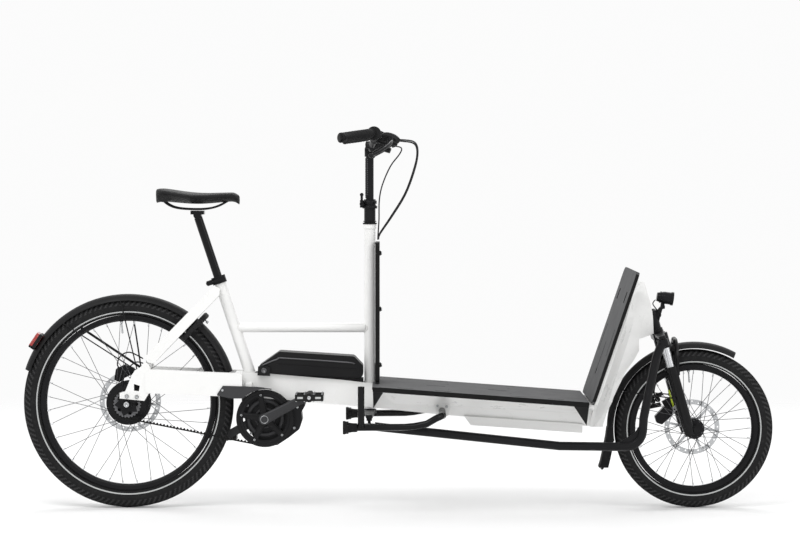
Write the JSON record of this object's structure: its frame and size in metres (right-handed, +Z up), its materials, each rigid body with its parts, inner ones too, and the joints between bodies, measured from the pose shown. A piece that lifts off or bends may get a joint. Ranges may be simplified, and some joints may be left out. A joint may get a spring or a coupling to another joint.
{
  "type": "cargo bicycle",
  "caption": "Front-loading electric cargo bicycle with a low flat deck, slanted front panel, mid motor, toothed belt, disc brakes, tie-rod steering, suspension fork and folding stand",
  "frame": {"origin": "on the ground under the middle of the bicycle's length and width, wheels resting on the ground", "axes": "+X forward, +Y to the rider's left, +Z up"},
  "size_m": [2.4396, 0.6766, 1.2335],
  "materials": {
    "frame_white": "gloss",
    "black_metal": "satin",
    "deck_grey": "matte",
    "black_plastic": "matte",
    "red_lens": "gloss",
    "battery_black": "satin",
    "motor_black": "satin",
    "cover_grey": "matte",
    "steel": "satin",
    "cable_black": "satin",
    "belt_rubber": "matte",
    "silver_metal": "satin",
    "grip_rubber": "matte",
    "lamp_black": "satin",
    "tyre_black": "matte",
    "rim_black": "satin",
    "pedal_black": "matte",
    "saddle_black": "matte"
  },
  "bodies": {
    "frame": {"main_beam": "frame_white", "chainstay_right": "frame_white", "chainstay_left": "frame_white", "rear_axle": "black_metal", "seat_tube": "frame_white", "top_tube": "frame_white", "column_tube": "frame_white", "seatstays": "frame_white", "cargo_hull": "frame_white", "head_tube": "black_metal", "front_shell": "frame_white", "deck": "deck_grey", "rear_board": "deck_grey", "front_panel": "deck_grey", "rear_fender": "black_plastic", "tail_light": "red_lens", "battery_base": "black_plastic", "motor": "motor_black", "belt_cover": "cover_grey", "ring_lock": "black_plastic", "seat_collar": "black_metal", "rear_caliper": "black_metal", "stand_bracket": "frame_white", "frame_cables": "cable_black", "drive_belt": "belt_rubber"},
    "battery": {"battery": "battery_black"},
    "lock_bow": {"lock_shackle": "steel"},
    "steering_column": {"column_shaft": "black_metal"},
    "stem": {"stem_post": "black_metal", "handlebar": "black_metal", "grips": "grip_rubber", "cockpit": "black_plastic", "control_cables": "cable_black"},
    "lever_right": {"brake_lever_right": "black_metal"},
    "lever_left": {"brake_lever_left": "black_metal"},
    "shifter": {"twist_shifter": "black_plastic"},
    "post_lever": {"clamp_lever": "black_metal"},
    "socket": {"rod_socket": "steel"},
    "rod": {"tie_rod": "black_metal"},
    "fork": {"fork_crown": "black_metal", "stanchions": "silver_metal"},
    "lowers": {"fork_lowers": "black_metal", "front_fender": "black_plastic", "front_caliper": "black_metal"},
    "lamp": {"headlight": "lamp_black"},
    "front_wheel": {"front_tyre": "tyre_black", "front_rim": "rim_black", "front_spokes": "steel", "front_hub": "black_metal"},
    "rear_wheel": {"rear_tyre": "tyre_black", "rear_rim": "rim_black", "rear_spokes": "steel", "rear_hub": "black_metal"},
    "hub_pulley": {"rear_sprocket": "silver_metal"},
    "cranks": {"crankset": "black_metal"},
    "right_pedal": {"pedal_right": "pedal_black"},
    "left_pedal": {"pedal_left": "pedal_black"},
    "stand": {"stand_legs": "black_metal"},
    "seat": {"seat_post": "black_metal", "saddle": "saddle_black"}
  },
  "joints": [
    {"name": "rear_wheel_spin", "type": "hinge", "parent": "frame", "child": "rear_wheel", "pos_m": [-0.8755, 0, 0.3415], "axis": [0, 1, 0], "continuous": true},
    {"name": "hub_pulley_spin", "type": "hinge", "parent": "frame", "child": "hub_pulley", "pos_m": [-0.8755, 0, 0.3415], "axis": [0, 1, 0], "continuous": true},
    {"name": "crank_spin", "type": "hinge", "parent": "frame", "child": "cranks", "pos_m": [-0.4295, 0, 0.295], "axis": [0, 1, 0], "continuous": true},
    {"name": "right_pedal_spin", "type": "hinge", "parent": "cranks", "child": "right_pedal", "pos_m": [-0.28205, -0.15, 0.3734], "axis": [0, 1, 0], "continuous": true},
    {"name": "left_pedal_spin", "type": "hinge", "parent": "cranks", "child": "left_pedal", "pos_m": [-0.57695, 0.15, 0.2166], "axis": [0, 1, 0], "continuous": true},
    {"name": "steering", "type": "hinge", "parent": "frame", "child": "steering_column", "pos_m": [-0.0905, 0, 0.9], "axis": [0, 0, 1], "range_deg": [-28, 28]},
    {"name": "stem_height", "type": "slide", "parent": "steering_column", "child": "stem", "axis": [0, 0, 1], "range_m": [0, 0.06]},
    {"name": "lever_right_pull", "type": "hinge", "parent": "stem", "child": "lever_right", "pos_m": [-0.0235, -0.19, 1.196], "axis": [0, 0, -1], "range_deg": [0, 14], "stiffness_Nm_per_rad": 1.2, "springref_deg": -22.92},
    {"name": "lever_left_pull", "type": "hinge", "parent": "stem", "child": "lever_left", "pos_m": [-0.0235, 0.19, 1.196], "axis": [0, 0, 1], "range_deg": [0, 14], "stiffness_Nm_per_rad": 1.2, "springref_deg": -22.92},
    {"name": "shifter_twist", "type": "hinge", "parent": "stem", "child": "shifter", "pos_m": [-0.0733, -0.18, 1.2119], "axis": [-0.0619, -0.9908, 0.1207], "range_deg": [-60, 60]},
    {"name": "post_lever_open", "type": "hinge", "parent": "steering_column", "child": "post_lever", "pos_m": [-0.1165, -0.017, 0.988], "axis": [0, -1, 0], "range_deg": [0, 100]},
    {"name": "socket_swivel", "type": "hinge", "parent": "steering_column", "child": "socket", "pos_m": [-0.0905, -0.19, 0.283], "axis": [0, 0, 1], "range_deg": [-30, 30]},
    {"name": "rod_pitch", "type": "hinge", "parent": "socket", "child": "rod", "pos_m": [-0.0905, -0.19, 0.283], "axis": [0, 1, 0], "range_deg": [-2, 2]},
    {"name": "fork_steer", "type": "hinge", "parent": "frame", "child": "fork", "pos_m": [0.93, 0, 0.258], "axis": [-0.2756, 0, 0.9613], "range_deg": [-28, 28]},
    {"name": "fork_travel", "type": "slide", "parent": "fork", "child": "lowers", "axis": [-0.2756, 0, 0.9613], "range_m": [0, 0.03], "stiffness_N_per_m": 12000, "springref_m": -0.045},
    {"name": "front_wheel_spin", "type": "hinge", "parent": "lowers", "child": "front_wheel", "pos_m": [0.963, 0, 0.258], "axis": [0, 1, 0], "continuous": true},
    {"name": "lamp_tilt", "type": "hinge", "parent": "frame", "child": "lamp", "pos_m": [0.86034, 0, 0.65357], "axis": [0, 1, 0], "range_deg": [-5, 12]},
    {"name": "lock_close", "type": "hinge", "parent": "frame", "child": "lock_bow", "pos_m": [-0.66975, 0, 0.57641], "axis": [0.7242, 0, -0.6896], "range_deg": [0, 106]},
    {"name": "battery_lift", "type": "slide", "parent": "frame", "child": "battery", "axis": [0, 0, 1], "range_m": [0, 0.045]},
    {"name": "stand_fold", "type": "hinge", "parent": "frame", "child": "stand", "pos_m": [0.1435, 0, 0.319], "axis": [0, -1, 0], "range_deg": [0, 84]},
    {"name": "seat_height", "type": "slide", "parent": "frame", "child": "seat", "axis": [-0.3142, 0, 0.9494], "range_m": [-0.08, 0.06]}
  ],
  "couplings": [
    {"joint": "hub_pulley_spin", "follows": "crank_spin", "ratio": 1.9231},
    {"joint": "socket_swivel", "follows": "steering", "ratio": -1},
    {"joint": "rod_pitch", "follows": "steering", "ratio": -0.052},
    {"joint": "fork_steer", "follows": "steering", "ratio": 0.965}
  ]
}
